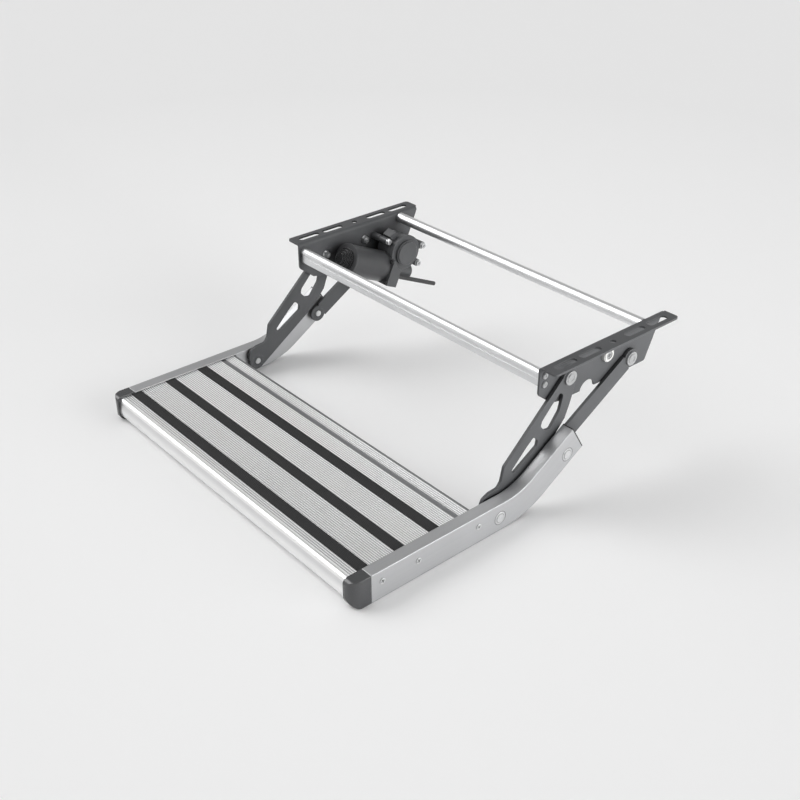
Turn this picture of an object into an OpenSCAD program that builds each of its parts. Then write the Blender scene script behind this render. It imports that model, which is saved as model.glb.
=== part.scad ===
// Electric fold-out caravan step.
// Two sheet steel brackets bolt under the floor, four flat arms carry a tread of extruded aluminium.
// A worm gear motor inside the left bracket turns the left rear arm and so folds the step away.
// Sizes in millimetres. The origin lies midway between the two centre holes, on the mounting face.
// X points to the right as seen from outside the vehicle, Y points under the vehicle, Z points up.

/* [Overall] */
// Width over the two mounting flanges
overall_w = 550; // [440:1:700]
// Length of a mounting flange, front to rear
flange_l = 240; // [226:1:280]
// Width of a mounting flange
flange_w = 28.5; // [25:0.5:34]
// Sheet thickness of the brackets
sheet_t = 3; // [2:0.5:4]
// Outside radius of the flange bend
bend_r = 5; // [4.5:0.5:7]
// Rounding of the outer flange corners
flange_corner_r = 5; // [2:0.5:8]
// Depth of the bracket web below the mounting face
web_h = 66; // [62:1:74]

/* [Mounting holes] */
// Radius of the round centre hole
centre_hole_r = 4.5; // [3:0.25:5.5]
// Length of a mounting slot over its ends
slot_l = 38; // [28:1:40]
// Width of a mounting slot
slot_w = 10.5; // [7:0.5:11]
// Distance from the centre hole to the middle of the inner slot
slot_inner_y = 43.5; // [40:0.5:46]
// Distance from the centre hole to the middle of the outer slot
slot_outer_y = 89; // [87:0.5:94]
// Distance of the hole line from the outer edge of the flange
hole_edge = 12.5; // [10:0.5:14]

/* [Linkage] */
// Front pivot, distance behind the front edge of the bracket
pivot_a_back = 50.5; // [46:0.5:56]
// Front pivot, depth below the mounting face
pivot_a_drop = 30; // [26:0.5:34]
// Rear pivot, distance behind the front edge of the bracket
pivot_b_back = 172; // [166:0.5:178]
// Rear pivot, depth below the mounting face
pivot_b_drop = 46.5; // [43:0.5:49]
// Lower pivot of the front arm, distance ahead of the bracket
pivot_c_ahead = 85.5; // [76:0.5:100]
// Lower pivot of the front arm, depth below the mounting face
pivot_c_drop = 171; // [160:0.5:185]
// Lower pivot of the rear arm, distance along the raised leg of the rail
pivot_d_along = 56.3; // [48:0.1:62]
// Lower pivot of the rear arm, distance below the middle of the raised leg
pivot_d_below = 5.8; // [0:0.1:7]

/* [Arms and pins] */
// Thickness of an arm plate
arm_t = 4.5; // [3:0.5:5.5]
// Space between bracket and arm, filled by the shoulder of the pin
arm_gap = 1.2; // [0.8:0.1:2]
// Space between arm and rail flange
rail_gap = 3.5; // [2.5:0.1:5]
// Width of a rear arm
rear_arm_w = 26; // [22:1:30]
// Radius of the front arm round its upper pivot
front_hub_r = 13; // [11:0.5:15]
// Radius of the front arm round its lower pivot
front_foot_r = 13.5; // [12:0.5:16]
// Radius of the upper pivot pins
pin_r = 6; // [5:0.5:7]
// Radius of a pin head
pin_head_r = 9.7; // [8.5:0.1:11]
// Height of a pin head
pin_head_h = 2.6; // [2:0.1:3.4]
// Radius of the lower pivot pins
low_pin_r = 4; // [3.5:0.5:5]
// Length of the lower pin that stands out on the inside of an arm
low_pin_out = 2; // [1:0.5:3.5]
// Running clearance between pin and arm, on the radius
pin_clear = 0.05; // [0.02:0.01:0.1]
// End play between an arm and the shoulders beside it
end_play = 0.1; // [0.05:0.05:0.2]

/* [Rails] */
// Height of a side rail
rail_h = 40; // [36:1:44]
// Wall thickness of a side rail
rail_t = 2.2; // [1.6:0.2:3]
// Outside width of a side rail
rail_w = 17.3; // [15:0.1:20]
// Middle of the rail above the lower pivot of the front arm
rail_over_c = 1; // [0:0.5:3]
// Start of the bend behind that pivot
rail_bend_back = 9; // [6:0.5:16]
// Radius of the bend, measured at the top edge
rail_bend_r = 92; // [80:1:110]
// Angle by which the rail turns up
rail_bend_a = 31.8; // [28:0.1:34]
// Length of the raised leg
rail_leg_l = 80; // [74:1:100]
// Radius of the lower pivot heads in the rail wall
rail_head_r = 9; // [7.5:0.5:10]

/* [Tread] */
// Front of the tread ahead of the lower pivot of the front arm
tread_ahead = 235; // [215:0.5:250]
// Depth of the tread, front to rear
tread_d = 201.5; // [188:0.5:206]
// Depth of the nose ahead of the rails, which is also the length of an end cap
nose_d = 28; // [27:0.1:30]
// Set back of the nose behind the front of the end caps
nose_back = 2.2; // [1:0.1:3]
// Radius of the lower edge of the nose
nose_low_r = 18; // [15:0.5:20]
// Radius of the upper edge of the nose
nose_top_r = 5.5; // [4:0.5:6]
// Wall thickness of the tread extrusion
tread_t = 2.2; // [1.6:0.2:3]
// Pitch of the anti-slip ribs
rib_p = 3.2; // [2.8:0.1:4]
// Height of the ribs
rib_h = 1; // [0.5:0.1:1.1]
// Width of a black grip strip
strip_w = 16; // [10:1:20]
// Thickness of a black grip strip
strip_t = 1.6; // [1.2:0.1:1.8]
// Distance between the grip strips
strip_p = 55; // [48:1:60]
// Corner radius of an end cap
cap_r = 15; // [12:0.5:16]

/* [Gear motor] */
// Distance of the motor axis from the inner face of the bracket
motor_off = 27.5; // [27:0.5:34]
// Slope of the motor axis, down towards the rear
motor_tilt = 24.8; // [20:0.1:30]
// Distance between output shaft and worm
worm_dist = 33; // [33:0.5:36]
// Radius of the motor can
can_r = 24.5; // [22:0.5:25]
// Length of the motor can
can_l = 75; // [66:1:84]
// Radius of the gear housing
gear_r = 25; // [24.5:0.1:25.5]
// Radius of the gear cover
cover_r = 28; // [26.5:0.5:28.5]
// Thickness of the gear cover
cover_t = 5; // [4:0.5:7]
// Height of the hub on the gear cover
hub_t = 6; // [4:0.5:8]
// Length of the stepped end cap of the motor
cap_l = 14; // [12:0.5:17]
// Radius of the output shaft
shaft_r = 8; // [7:0.5:9]
// Radius of the supply cable
cable_r = 3.5; // [2.5:0.25:3.75]
// Length of the supply cable
cable_l = 94; // [60:1:110]

/* [Cross members] */
// Radius of the rear cross tube
tube_r = 8; // [6:0.5:8]
// Wall of the rear cross tube
tube_t = 1.5; // [1:0.25:2.5]
// Height of the front cross profile
front_h = 23; // [21:0.5:26]
// Depth of the front cross profile
front_d = 12; // [11:0.5:14]

/* [Hidden] */
$fn = 64;
// stations across the width, right side
half_w = overall_w / 2;
web_in = half_w - flange_w;
web_out = web_in + sheet_t;
arm_in = web_out + arm_gap;
arm_out = arm_in + arm_t;
rail_in = arm_out + rail_gap;
rail_out = rail_in + rail_w;
rail_wall = rail_out - rail_t;
hole_x = half_w - hole_edge;
// stations along the depth
edge_f = -flange_l / 2;
edge_r = flange_l / 2;
// pivots as depth and height
pa = [edge_f + pivot_a_back, -pivot_a_drop];
pb = [edge_f + pivot_b_back, -pivot_b_drop];
pc = [edge_f - pivot_c_ahead, -pivot_c_drop];
// rail path
rail_top = pc[1] + rail_over_c + rail_h / 2;
rail_low = rail_top - rail_h;
turn = [pc[0] + rail_bend_back, rail_top + rail_bend_r];
leg_dir = [cos(rail_bend_a), sin(rail_bend_a)];
leg_down = [sin(rail_bend_a), -cos(rail_bend_a)];
leg_lap = 0.5;
spacer_r = low_pin_r + 2;
plug_t = 1.6;
plug_in = 5;
seat_gap = 0.3;
pd = turn + (rail_bend_r + rail_h / 2 + pivot_d_below) * leg_down + pivot_d_along * leg_dir;
// tread stations
nose_y = pc[0] - tread_ahead;
rail_f = nose_y + nose_d;
nose_f = nose_y + nose_back;
nose_room = nose_f + 12.5;
tread_rear = nose_y + tread_d;
deck = rail_top - rail_t;
sole = rail_low + rail_t;
strip_1 = rail_f - 4.6;
groove_y = strip_1 + 3 * strip_p - 13;
screw_y = [rail_f + 16.2, rail_f + 71.5, tread_rear - 3.9];
screw_z = rail_top - 15.8;
screw_r = 1.9;
port_r = 3.6;
chamber_top = deck - strip_t - tread_t;
// arm axes
front_len = norm(pc - pa);
front_u = (pc - pa) / front_len;
front_n = [front_u[1], -front_u[0]];
rear_len = norm(pd - pb);
rear_turn = atan2(pd[1] - pb[1], pd[0] - pb[0]);
// stop buffer on the web
ps = [pb[0] - 45, pb[1] + 20];
stop_r = 9.5;
stop_h = 5;
stop_hole_r = 3;
// front profile
front_y0 = edge_f + 3;
front_z1 = -8;
front_mid = front_y0 + front_d / 2;
front_port = [front_z1 - 6.2, front_z1 - front_h + 4.2];
front_screw_r = 2.4;
// rear tube
pt = [edge_r - 38, -tube_r - 1.8];
// gear motor stations, left side, measured from the middle line
gear_x = web_in - motor_off;
house_out = web_in - 8.5;
house_in = gear_x - 15;
cover_in = house_in - cover_t;
hub_in = cover_in - hub_t;
stand_in = house_in + 6;
lug_r = 5.8;
lug_ring = 35;
lug_a = [140, 4, -45];
bolt_r = 2.5;
bolt_head_h = 3.6;
wheel_r = worm_dist - 11;
wheel_w = 15;
worm_r = 10.4;
block_f = -25;
block_r = -4;
block_n0 = -24;
block_n1 = 19;
block_in = 28;
motor_screw_l = [3, 11];
tunnel_r = 13;
tunnel_end = 36;
axle_r = 3.5;
bush_r = 11;
bore_fit = 0.05;
cable_x = 17.5;
cable_n = -8;
gland_r = 5.6;
gland_l = 6;

// Shapes used by several pieces

// Draws its children on the right side or mirrored on the left side
module sided(s) {
    if (s > 0) {
        children();
    } else {
        mirror([1, 0, 0]) children();
    }
}

// Round bar across the width at a point of depth and height
module rod(x0, x1, p, r) {
    translate([x0, p[0], p[1]])
        rotate([0, 90, 0])
            cylinder(r = r, h = x1 - x0);
}

// Flat plate across the width from an outline of depth and height
module plate(x0, x1, pts) {
    translate([x0, 0, 0])
        rotate([90, 0, 90])
            linear_extrude(x1 - x0)
                polygon(pts);
}

// Corner of an outline replaced by an arc of short chords
function arc_corner(a, b, c, r, k) =
    let (u = (a - b) / norm(a - b), v = (c - b) / norm(c - b))
    let (h = acos(max(-1, min(1, u * v))) / 2)
    let (d = min(r / tan(h), 0.46 * norm(a - b), 0.46 * norm(c - b)))
    let (q = d * tan(h), w = (u + v) / norm(u + v))
    let (m = b + w * (q / sin(h)), s = b + u * d - m, e = b + v * d - m)
    let (t0 = atan2(s[1], s[0]), raw = atan2(e[1], e[0]) - t0)
    let (sw = raw > 180 ? raw - 360 : raw < -180 ? raw + 360 : raw)
    [for (i = [0:k]) m + q * [cos(t0 + sw * i / k), sin(t0 + sw * i / k)]];

// Outline with every corner rounded
function soft(pts, r, k = 5) = [
    for (i = [0:len(pts) - 1])
        each arc_corner(pts[(i + len(pts) - 1) % len(pts)], pts[i], pts[(i + 1) % len(pts)], r, k)];

// Points of the front arm, given along and across the line between its pivots
function on_front(pts) = [for (p = pts) pa + p[0] * front_len * front_u + p[1] * front_n];

// Solid that follows the side rail between two depths below its top edge
module rail_run(d0, d1, x0, x1, leg) {
    translate([x0, rail_f, rail_top - d1])
        cube([x1 - x0, turn[0] - rail_f, d1 - d0]);
    translate([0, turn[0], turn[1]]) {
        rotate([0, 90, 0])
            rotate_extrude(angle = rail_bend_a, $fn = 180)
                translate([rail_bend_r + d0, x0])
                    square([d1 - d0, x1 - x0]);
        rotate([rail_bend_a, 0, 0])
            translate([x0, -leg_lap, -rail_bend_r - d1])
                cube([x1 - x0, leg + leg_lap, d1 - d0]);
    }
}

// Frame of the motor, its second axis is the motor axis and its third axis points to the output shaft
module on_motor() {
    translate([-gear_x, pb[0], pb[1]])
        rotate([-motor_tilt, 0, 0])
            translate([0, 0, -worm_dist])
                children();
}

// Round bar on the motor axis
module spin_rod(t0, t1, r) {
    translate([0, t0, 0])
        rotate([-90, 0, 0])
            cylinder(r = r, h = t1 - t0);
}

// Centre of a gear cover bolt
function lug(i) = pb + lug_ring * [cos(lug_a[i]), sin(lug_a[i])];

// Fixed frame

// Bracket plate with its outward mounting flange, four slots and the centre hole
module bracket(s) {
    sided(s) difference() {
        union() {
            plate(web_in, web_out, concat(
                [[edge_f, -bend_r]],
                arc_corner([edge_f, -bend_r], [edge_f, -pivot_a_drop - 10], [edge_f + 25, -web_h + 6], 9, 6),
                [[edge_f + 25, -web_h + 6],
                    [edge_f + 40, -web_h + 3],
                    [ps[0] - 12, -web_h + 1]],
                arc_corner([ps[0] - 12, -web_h + 1], [edge_r - 30, -web_h], [edge_r - 3, -bend_r], 5, 5),
                [[edge_r - 3, -bend_r]]));
            // bend between web and flange
            translate([web_in + bend_r, edge_f, -bend_r])
                rotate([-90, 0, 0])
                    intersection() {
                        difference() {
                            cylinder(r = bend_r, h = flange_l - 3);
                            translate([0, 0, -1])
                                cylinder(r = bend_r - sheet_t, h = flange_l);
                        }
                        translate([-bend_r, -bend_r, 0])
                            cube([bend_r, bend_r, flange_l]);
                    }
            // flange with rounded outer corners
            translate([web_in + bend_r, edge_f, -sheet_t])
                cube([flange_w - bend_r - flange_corner_r, flange_l, sheet_t]);
            translate([web_in + bend_r, edge_f + flange_corner_r, -sheet_t])
                cube([flange_w - bend_r, flange_l - 2 * flange_corner_r, sheet_t]);
            for (y = [edge_f + flange_corner_r, edge_r - flange_corner_r])
                translate([half_w - flange_corner_r, y, -sheet_t])
                    cylinder(r = flange_corner_r, h = sheet_t);
        }
        // centre hole and slots
        translate([hole_x, 0, -sheet_t - 1])
            cylinder(r = centre_hole_r, h = sheet_t + 2);
        for (y = [-slot_outer_y, -slot_inner_y, slot_inner_y, slot_outer_y]) {
            for (e = [-1, 1])
                translate([hole_x, y + e * (slot_l - slot_w) / 2, -sheet_t - 1])
                    cylinder(r = slot_w / 2, h = sheet_t + 2);
            translate([hole_x - slot_w / 2, y - (slot_l - slot_w) / 2, -sheet_t - 1])
                cube([slot_w, slot_l - slot_w, sheet_t + 2]);
        }
        // round notch in the lower edge
        rod(web_in - 1, web_out + 1, [ps[0] - 34, -web_h], 14);
        // pivots, stop screw and profile screws
        rod(web_in - 1, web_out + 1, pa, pin_r);
        rod(web_in - 1, web_out + 1, pb, s > 0 ? pin_r : bush_r);
        rod(web_in - 1, web_out + 1, ps, stop_hole_r);
        for (z = front_port)
            rod(web_in - 1, web_out + 1, [front_mid, z], front_screw_r + bore_fit);
        // gear motor bolts on the driven side
        if (s < 0)
            for (i = [0, 1])
                rod(web_in - 1, web_out + 1, lug(i), bolt_r + bore_fit);
    }
}

module bracket_left() {
    color("#4a4c4f") bracket(-1);
}

module bracket_right() {
    color("#4a4c4f") bracket(1);
}

// Extruded front cross profile with a round upper edge, a groove line and two screw ports
module front_profile() {
    bulge_r = front_d / 2;
    skirt_z = front_z1 - front_h;
    color("#c9cbcd") difference() {
        union() {
            rod(-web_in, web_in, [front_mid, front_z1 - bulge_r], bulge_r);
            translate([-web_in, front_y0 + 0.8, skirt_z + 2])
                cube([2 * web_in, front_d - 1.6, front_h - 2 - bulge_r]);
            translate([-web_in, front_y0 + 2.8, skirt_z])
                cube([2 * web_in, front_d - 5.6, 3]);
            for (y = [front_y0 + 2.8, front_y0 + front_d - 2.8])
                rod(-web_in, web_in, [y, skirt_z + 2], 2);
        }
        // groove line on the outer face
        translate([-web_in - 1, front_y0 - 1, front_z1 - 12.6])
            cube([2 * web_in + 2, 2.6, 0.9]);
        for (z = front_port)
            rod(-web_in - 1, web_in + 1, [front_mid, z], front_screw_r + bore_fit);
    }
}

// Bright rear cross tube between the webs
module rear_tube() {
    color("#d6d8da") difference() {
        rod(-web_in, web_in, pt, tube_r);
        rod(-web_in - 1, web_in + 1, pt, tube_r - tube_t);
    }
}

// Pan head screw through the web into the front profile
module profile_screw(s, z) {
    sided(s) color("#b9bcc0") difference() {
        union() {
            rod(web_in - 14, web_out, [front_mid, z], front_screw_r);
            rod(web_out, web_out + 1.6, [front_mid, z], 4.2);
            rod(web_out + 1.6, web_out + 2.4, [front_mid, z], 3.2);
        }
        for (a = [0, 90])
            translate([web_out + 1.2, front_mid, z])
                rotate([a, 0, 0])
                    translate([0, -2, -0.4])
                        cube([4, 4, 0.8]);
    }
}

module profile_screw_left_upper() {
    profile_screw(-1, front_port[0]);
}

module profile_screw_left_lower() {
    profile_screw(-1, front_port[1]);
}

module profile_screw_right_upper() {
    profile_screw(1, front_port[0]);
}

module profile_screw_right_lower() {
    profile_screw(1, front_port[1]);
}

// Head of a pivot pin, a flat collar with a raised and dished middle
module pin_head(p) {
    difference() {
        union() {
            rod(arm_out + end_play, arm_out + end_play + pin_head_h, p, pin_head_r);
            rod(arm_out + end_play + pin_head_h, arm_out + end_play + pin_head_h + 1, p, 0.68 * pin_head_r);
        }
        rod(arm_out + end_play + pin_head_h + 0.4, arm_out + 9, p, 0.46 * pin_head_r);
    }
}

// Upper pivot pin, riveted into the web, with shoulder, running seat and head
module pivot_pin(s, p) {
    sided(s) color("#c4c7ca") difference() {
        union() {
            rod(web_in - 6, web_in, p, 0.75 * pin_r);
            rod(web_in, arm_out + end_play, p, pin_r);
            rod(web_out, arm_in - end_play, p, pin_r + 3);
            pin_head(p);
        }
        rod(web_in - 7, web_in - 4, p, 0.45 * pin_r);
    }
}

module pin_a_left() {
    pivot_pin(-1, pa);
}

module pin_a_right() {
    pivot_pin(1, pa);
}

module pin_b_right() {
    pivot_pin(1, pb);
}

// White plastic stop ring on the outside of the web
module stop_ring(s) {
    sided(s) color("#e6e6e2") difference() {
        union() {
            rod(web_out, web_out + stop_h - 1, ps, stop_r);
            rod(web_out + stop_h - 1, web_out + stop_h, ps, stop_r - 1);
        }
        rod(web_out - 1, web_out + 2, ps, stop_hole_r + bore_fit);
        rod(web_out + 1.6, web_out + stop_h + 1, ps, 5.6);
    }
}

module stop_ring_left() {
    stop_ring(-1);
}

module stop_ring_right() {
    stop_ring(1);
}

// Socket screw that holds the stop ring
module stop_screw(s) {
    sided(s) color("#a9acb0") difference() {
        union() {
            rod(web_in - 8, web_out + 1.6, ps, stop_hole_r - bore_fit);
            rod(web_out + 1.6, web_out + 4.4, ps, 5);
        }
        translate([web_out + 2.6, ps[0], ps[1]])
            rotate([0, 90, 0])
                cylinder(r = 2.8, h = 4, $fn = 6);
    }
}

module stop_screw_left() {
    stop_screw(-1);
}

module stop_screw_right() {
    stop_screw(1);
}

// Hexagon nut with its washer face against the inside of the web
module stop_nut(s) {
    sided(s) color("#b9bcc0") difference() {
        union() {
            rod(web_in - 1, web_in, ps, 6.5);
            translate([web_in - 6, ps[0], ps[1]])
                rotate([0, 90, 0])
                    cylinder(r = 5.8, h = 5, $fn = 6);
        }
        rod(web_in - 7, web_in + 1, ps, stop_hole_r);
    }
}

module stop_nut_left() {
    stop_nut(-1);
}

module stop_nut_right() {
    stop_nut(1);
}

// Gear motor

// Cast gear housing with worm tunnel, motor flange block and three lugs
module gear_housing() {
    color("#3b3d40") difference() {
        union() {
            rod(-house_out, -house_in, pb, gear_r);
            // rim that carries the cover
            rod(-house_in - 7, -house_in, pb, cover_r - 0.9);
            // rear and lower lug
            for (i = [1, 2]) {
                rod(i < 2 ? -web_in : -house_out + 2, -house_in, lug(i), lug_r);
                translate([-house_out + 4, pb[0], pb[1]])
                    rotate([lug_a[i], 0, 0])
                        translate([0, gear_r - 4, -4.5])
                            cube([house_out - house_in - 7, lug_ring - gear_r, 9]);
            }
            // front lug, a stepped stand-off on the web
            rod(-web_in, -web_in + 18, lug(0), 5.4);
            rod(-web_in + 17, -web_in + 22, lug(0), 4.2);
            rod(-web_in + 21, -stand_in, lug(0), 5);
            translate([-house_out + 8, pb[0], pb[1]])
                rotate([lug_a[0], 0, 0])
                    translate([0, gear_r - 4, -4])
                        cube([house_out - stand_in - 10, lug_ring - gear_r + 0.4, 8]);
            // square boss on top
            translate([-stand_in - 17, pb[0], pb[1]])
                rotate([118, 0, 0])
                    translate([0, gear_r - 4, -6.5])
                        cube([17.5, 16, 13]);
            on_motor() {
                spin_rod(block_r - 1, tunnel_end, tunnel_r);
                spin_rod(tunnel_end, tunnel_end + 2, tunnel_r - 4);
            }
            // motor flange block, cut back round the gear cover
            difference() {
                on_motor()
                    translate([-can_r + 0.5, block_f, block_n0])
                        cube([can_r - 0.5 + block_in, block_r - block_f, block_n1 - block_n0]);
                rod(-house_in - 0.3, -hub_in + 30, pb, cover_r + 0.4);
            }
        }
        // gear cavity, open towards the cover
        rod(-house_out + 3, -house_in + 1, pb, wheel_r + 1);
        // output bore and bolt holes
        rod(-house_out - 1, -house_in, pb, shaft_r + bore_fit);
        for (i = [0, 1, 2])
            rod(-web_in - 1, -house_in + 1, lug(i), bolt_r + bore_fit);
        on_motor() {
            spin_rod(block_f - 1, tunnel_end - 8, worm_r + 0.8);
            spin_rod(tunnel_end - 9, tunnel_end - 1.5, axle_r + bore_fit);
            // cable entry and flange screws
            translate([cable_x, 0, cable_n])
                spin_rod(block_r - 10, block_r + 1, cable_r + bore_fit);
            translate([block_in - 4, block_f, block_n1 - 4.5])
                spin_rod(-1, motor_screw_l[0] + 0.5, 2 + bore_fit);
            translate([block_in - 4, block_f, block_n0 + 5])
                spin_rod(-1, motor_screw_l[1] + 0.5, 2 + bore_fit);
        }
    }
}

// Gear cover with raised hub and two lugs
module gear_cover() {
    color("#4a4c50") difference() {
        union() {
            rod(-house_in, -cover_in, pb, cover_r);
            rod(-cover_in, -hub_in - 0.3 * hub_t, pb, 0.73 * cover_r);
            rod(-cover_in, -hub_in, pb, 0.66 * cover_r);
            for (i = [1, 2]) {
                rod(-house_in, -cover_in, lug(i), lug_r);
                translate([-house_in, pb[0], pb[1]])
                    rotate([lug_a[i], 0, 0])
                        translate([0, cover_r - 4, -4.5])
                            cube([house_in - cover_in - 1, lug_ring - cover_r, 9]);
            }
        }
        rod(-house_in - 1, -hub_in - 2, pb, shaft_r + bore_fit);
        for (i = [1, 2])
            rod(-house_in - 1, -cover_in + 1, lug(i), bolt_r + bore_fit);
    }
}

// Hexagon bolt with its washer face on the cover or on the stand-off
module gear_bolt(i) {
    x = i == 0 ? -stand_in : -cover_in;
    color("#c4c7ca") difference() {
        union() {
            rod(i < 2 ? -web_out : -house_out, x, lug(i), bolt_r);
            rod(x, x + 0.9, lug(i), 2 * bolt_r);
            translate([x + 0.9, lug(i)[0], lug(i)[1]])
                rotate([0, 90, 0])
                    cylinder(r = 1.84 * bolt_r, h = bolt_head_h, $fn = 6);
        }
        rod(x + bolt_head_h - 0.9, x + bolt_head_h + 2, lug(i), 0.7 * bolt_r);
    }
}

module gear_bolt_front() {
    gear_bolt(0);
}

module gear_bolt_rear() {
    gear_bolt(1);
}

module gear_bolt_low() {
    gear_bolt(2);
}

// Drawn steel motor can, closed in front, with a rolled rim
module motor_can() {
    color("#515357") on_motor() difference() {
        union() {
            spin_rod(block_f - can_l, block_f, can_r);
            spin_rod(block_f - can_l, block_f - can_l + 3, can_r + 0.7);
        }
        spin_rod(block_f - can_l + 2, block_f + 1, can_r - 1.5);
        spin_rod(block_f - can_l - 1, block_f - can_l + 3, 0.52 * can_r + bore_fit);
    }
}

// Stepped plastic end cap of the motor with the front bearing
module motor_cap() {
    y0 = block_f - can_l;
    color("#1e1f21") on_motor() difference() {
        union() {
            spin_rod(y0 - 1, y0 + 5, 0.52 * can_r);
            for (i = [0:3])
                spin_rod(y0 - (i + 1) * cap_l / 4, y0 - i * cap_l / 4, (0.72 - 0.13 * i) * can_r);
        }
        spin_rod(y0 + 1, y0 + 6, 0.52 * can_r - 2);
        spin_rod(y0 - cap_l + 3, y0 + 6, axle_r + bore_fit);
    }
}

// Screw that holds the motor on the gear block
module motor_screw(n, l) {
    color("#2a2b2d") on_motor() translate([block_in - 4, block_f, n]) difference() {
        union() {
            spin_rod(0, l, 2);
            spin_rod(-2.6, 0, 3.6);
        }
        spin_rod(-3, -1.2, 1.6);
    }
}

module motor_screw_upper() {
    motor_screw(block_n1 - 4.5, motor_screw_l[0]);
}

module motor_screw_lower() {
    motor_screw(block_n0 + 5, motor_screw_l[1]);
}

// Half shell magnet glued into the can
module magnet(a) {
    color("#606266") on_motor()
        translate([0, block_f - can_l + 14, 0])
            rotate([-90, 0, 0])
                rotate([0, 0, a])
                    rotate_extrude(angle = 150)
                        translate([can_r - 6, 0])
                            square([4.5, can_l - 26]);
}

module magnet_upper() {
    magnet(195);
}

module magnet_lower() {
    magnet(15);
}

// Bronze bush of the output shaft in the left web
module output_bush() {
    color("#a98b5a") difference() {
        union() {
            rod(-web_out, -house_out, pb, bush_r);
            rod(-arm_in + end_play, -web_out, pb, bush_r + 2);
        }
        rod(-arm_in - 1, -house_out + 1, pb, shaft_r + bore_fit);
    }
}

// Rubber gland where the cable leaves the gear block
module cable_gland() {
    color("#1c1d1e") on_motor() translate([cable_x, 0, cable_n]) difference() {
        union() {
            spin_rod(block_r, block_r + 2, gland_r);
            spin_rod(block_r + 2, block_r + gland_l, gland_r - 0.9);
        }
        spin_rod(block_r - 1, block_r + gland_l + 1, cable_r);
    }
}

// Short supply cable with a bare end
module motor_cable() {
    color("#2b2c2e") on_motor() translate([cable_x, 0, cable_n])
        spin_rod(block_r, block_r + cable_l, cable_r);
}

// Motor shaft with rotor pack, commutator and worm
module armature() {
    y0 = block_f - can_l;
    color("#8d9094") on_motor() {
        spin_rod(y0 - cap_l + 4, tunnel_end - 2.5, axle_r);
        spin_rod(y0 + 0.22 * can_l, block_f - 0.16 * can_l, can_r - 8);
        spin_rod(y0 + 0.1 * can_l, y0 + 0.18 * can_l, 0.4 * can_r);
        spin_rod(-15, 17, worm_r - 2.6);
        for (i = [-2:2])
            translate([0, 1 + 6 * i, 0])
                rotate([-90, 0, 0])
                    rotate_extrude()
                        polygon([[4, -2.6], [worm_r - 2.6, -2.6], [worm_r, -0.9],
                            [worm_r, 0.9], [worm_r - 2.6, 2.6], [4, 2.6]]);
    }
}

// Output shaft with collar outside the arm
module drive_shaft() {
    color("#c4c7ca") {
        rod(-arm_out - end_play, -hub_in - 3, pb, shaft_r);
        mirror([1, 0, 0]) pin_head(pb);
    }
}

// Worm wheel on the output shaft
module worm_wheel() {
    teeth = 40;
    color("#b79a63") difference() {
        rod(-gear_x - wheel_w / 2, -gear_x + wheel_w / 2, pb, wheel_r);
        rod(-gear_x - wheel_w, -gear_x + wheel_w, pb, shaft_r);
        for (i = [0:teeth - 1])
            translate([-gear_x - wheel_w, pb[0], pb[1]])
                rotate([i * 360 / teeth, 0, 0])
                    translate([0, wheel_r - 2, -0.8])
                        cube([2 * wheel_w, 4, 1.6]);
    }
}

// Arms

// Flat rear arm, a straight bar with a round eye at each pivot
module rear_arm(s) {
    r = rear_arm_w / 2;
    sided(s) color("#505256") difference() {
        union() {
            rod(arm_in, arm_out, pb, r);
            rod(arm_in, arm_out, pd, r);
            translate([arm_in, pb[0], pb[1]])
                rotate([rear_turn, 0, 0])
                    translate([0, 0.7 * r, 0.4 - r])
                        cube([arm_t, rear_len - 1.4 * r, 2 * r - 0.8]);
        }
        rod(arm_in - 1, arm_out + 1, pb, s > 0 ? pin_r + pin_clear : shaft_r);
        rod(arm_in - 1, arm_out + 1, pd, low_pin_r + pin_clear);
    }
}

module rear_arm_left() {
    rear_arm(-1);
}

module rear_arm_right() {
    rear_arm(1);
}

// Cut front arm with two windows, a notch for the tread edge and a rounded foot
module front_arm(s) {
    outline = on_front([
        [0.03, 11.5], [0.714, 19], [0.803, 8], [0.85, 7], [0.905, 17],
        [0.96, 21.8], [1.035, 16], [1.01, -13.4], [0.484, -35.3], [0.383, -39],
        [0.23, -38], [0.135, -30.4], [0.07, -24], [-0.03, -11.5]]);
    upper = on_front([
        [0.115, 0.8], [0.115, -8], [0.215, -19.8], [0.345, -22.6],
        [0.374, -14], [0.368, -2], [0.335, 1.6], [0.22, 1.8]]);
    lower = on_front([
        [0.448, -0.8], [0.45, -13], [0.485, -18], [0.718, -5.4], [0.712, 2], [0.54, 1]]);
    sided(s) color("#505256") difference() {
        union() {
            plate(arm_in, arm_out, soft(outline, 6));
            rod(arm_in, arm_out, pa, front_hub_r);
            rod(arm_in, arm_out, pc, front_foot_r);
        }
        plate(arm_in - 1, arm_out + 1, soft(upper, 4));
        plate(arm_in - 1, arm_out + 1, soft(lower, 3.5));
        rod(arm_in - 1, arm_out + 1, pa, pin_r + pin_clear);
        rod(arm_in - 1, arm_out + 1, pc, low_pin_r);
    }
}

module front_arm_left() {
    front_arm(-1);
}

module front_arm_right() {
    front_arm(1);
}

// Inner half of the foot pivot, riveted into the front arm
module foot_pin(s) {
    sided(s) color("#c4c7ca") difference() {
        union() {
            rod(arm_in - low_pin_out, arm_out, pc, low_pin_r);
            rod(arm_in - 1, arm_in, pc, low_pin_r + 0.6);
        }
        rod(arm_in - low_pin_out - 1, arm_in - low_pin_out + 0.6, pc, 0.5 * low_pin_r);
    }
}

module foot_pin_left() {
    foot_pin(-1);
}

module foot_pin_right() {
    foot_pin(1);
}

// Tread

// Outline of the ribbed deck from the nose to the rear edge
function deck_line(y0, y1) = [
    for (i = [0:floor((y1 - y0) / rib_p) - 1])
        each [[y0 + i * rib_p, deck - rib_h], [y0 + (i + 0.22) * rib_p, deck],
            [y0 + (i + 0.72) * rib_p, deck], [y0 + (i + 0.94) * rib_p, deck - rib_h]]];

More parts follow.
